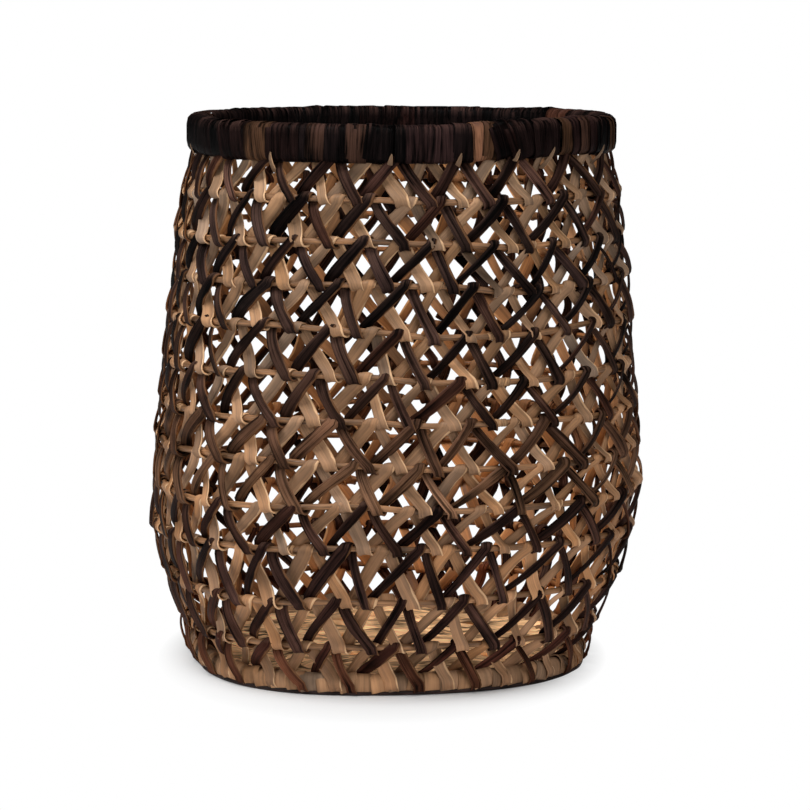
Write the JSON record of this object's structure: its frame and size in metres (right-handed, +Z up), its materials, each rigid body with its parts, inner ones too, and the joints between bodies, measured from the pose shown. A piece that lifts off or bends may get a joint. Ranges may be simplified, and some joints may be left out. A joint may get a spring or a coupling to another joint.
{
  "type": "woven basket",
  "caption": "Tall open round basket: cane hoops laced together with zigzag dark and pale strips, a bark-bound rim and a pleated leaf floor.",
  "frame": {"origin": "on the ground, under the middle of the basket where it is widest", "axes": "+Z up from the floor to the rim, -Y towards the viewer of the picture, +X to the viewer's right"},
  "size_m": [0.4101, 0.41, 0.45],
  "materials": {
    "cane": "split cane, satin, unvarnished",
    "dark_strip": "dark bark strip with long fibres, dull",
    "pale_strip": "pale leaf strip with long fibres, dull",
    "bark_binding": "close wrapping of thin dark bark strips",
    "leaf_cord": "pleated and twisted dry leaf, dull"
  },
  "bodies": {
    "root": {"rim_binding": "bark_binding", "rim_core": "cane", "wall_cane_01": "cane", "wall_cane_02": "cane", "wall_cane_03": "cane", "wall_cane_04": "cane", "wall_cane_05": "cane", "wall_cane_06": "cane", "wall_cane_07": "cane", "wall_cane_08": "cane", "wall_cane_09": "cane", "wall_cane_10": "cane", "wall_cane_11": "cane", "rim_cane": "cane", "base_cane": "cane", "dark_lace_01": "dark_strip", "dark_lace_02": "dark_strip", "dark_lace_03": "dark_strip", "dark_lace_04": "dark_strip", "dark_lace_05": "dark_strip", "dark_lace_06": "dark_strip", "dark_lace_07": "dark_strip", "dark_lace_08": "dark_strip", "dark_lace_09": "dark_strip", "dark_lace_10": "dark_strip", "dark_lace_11": "dark_strip", "dark_lace_12": "dark_strip", "pale_lace_01": "pale_strip", "pale_lace_02": "pale_strip", "pale_lace_03": "pale_strip", "pale_lace_04": "pale_strip", "pale_lace_05": "pale_strip", "pale_lace_06": "pale_strip", "pale_lace_07": "pale_strip", "pale_lace_08": "pale_strip", "pale_lace_09": "pale_strip", "pale_lace_10": "pale_strip", "pale_lace_11": "pale_strip", "pale_lace_12": "pale_strip", "base_binding": "pale_strip", "base_mat": "leaf_cord", "edge_cord": "dark_strip"}
  },
  "joints": []
}
